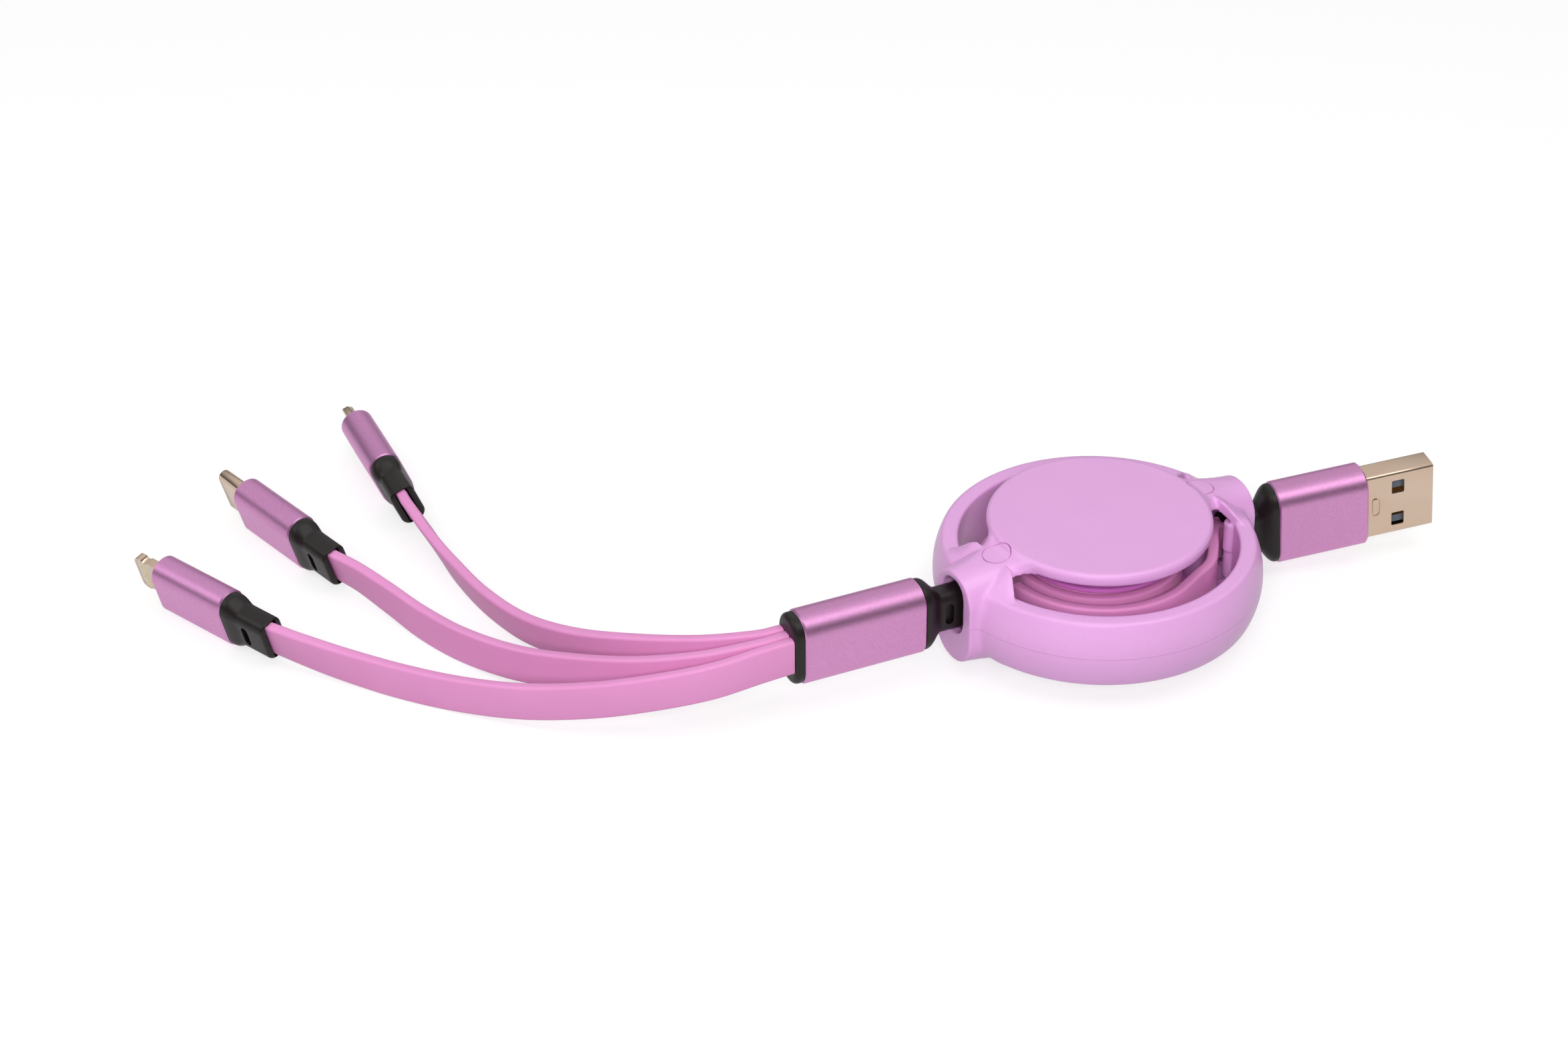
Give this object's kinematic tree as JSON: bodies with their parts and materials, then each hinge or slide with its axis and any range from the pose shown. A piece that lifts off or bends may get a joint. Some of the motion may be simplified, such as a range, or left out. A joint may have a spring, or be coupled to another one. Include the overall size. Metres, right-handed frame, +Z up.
{
  "type": "retractable multi-plug charging cable",
  "caption": "Retractable flat charging cable: round hand reel, charger plug on one side, splitter with three short branch plugs on the other.",
  "frame": {"origin": "on the spool axis, in the plane of the reel's underside, on which the reel stands", "axes": "+X from the reel towards the charger plug's horn, +Z up along the spool axis, +Y to the left of +X"},
  "size_m": [0.1946, 0.1388, 0.0202],
  "materials": {
    "casing": "satin moulded lilac pink plastic",
    "tape": "soft matt pink elastomer",
    "sleeve": "fine blasted pink anodised aluminium",
    "black_rubber": "satin black elastomer",
    "black_plastic": "matt black moulded insulator",
    "light_insert": "matt ivory moulded insulator",
    "plug_shell": "warm nickel plated sheet",
    "steel": "plain steel",
    "contacts": "gold plated"
  },
  "bodies": {
    "casing": {"lower_shell": "casing", "upper_shell": "casing", "locking_ball": "steel"},
    "spool": {"spool": "casing", "spring_cover": "casing", "power_spring": "steel", "wound_tape": "tape"},
    "usb_lead": {"usb_a_shell": "plug_shell", "usb_a_tongue": "light_insert", "usb_a_contacts": "contacts", "usb_a_core": "light_insert", "usb_a_sleeve": "sleeve", "usb_a_strain_relief": "black_rubber", "usb_lead_tape": "tape"},
    "splitter_lead": {"splitter_sleeve": "sleeve", "splitter_core": "light_insert", "splitter_end_cap": "black_rubber", "splitter_strain_relief": "black_rubber", "splitter_lead_tape": "tape", "tab_branch_tape": "tape", "tab_strain_relief": "black_rubber", "tab_sleeve": "sleeve", "tab_core": "black_rubber", "tab_blade": "plug_shell", "tab_contacts": "contacts", "oval_branch_tape": "tape", "oval_strain_relief": "black_rubber", "oval_sleeve": "sleeve", "oval_core": "light_insert", "oval_shell": "plug_shell", "oval_tongue": "black_plastic", "oval_contacts": "contacts", "five_branch_tape": "tape", "five_strain_relief": "black_rubber", "five_sleeve": "sleeve", "five_core": "light_insert", "five_shell": "plug_shell", "five_tongue": "black_plastic", "five_contacts": "contacts"}
  },
  "joints": [
    {"name": "spool_spin", "type": "hinge", "parent": "casing", "child": "spool", "pos_m": [0, 0, 0.0101], "axis": [0, 0, 1], "range_deg": [0, 1080], "deforming": ["power_spring"]},
    {"name": "usb_pull", "type": "slide", "parent": "casing", "child": "usb_lead", "axis": [1, 0, 0], "range_m": [0, 0.19], "deforming": ["usb_lead_tape"]},
    {"name": "splitter_pull", "type": "slide", "parent": "casing", "child": "splitter_lead", "axis": [-1, 0, 0], "range_m": [0, 0.19], "deforming": ["splitter_lead_tape"]}
  ],
  "couplings": [
    {"joint": "usb_pull", "follows": "spool_spin", "m_per_rad": 0.01},
    {"joint": "splitter_pull", "follows": "spool_spin", "m_per_rad": 0.01}
  ]
}
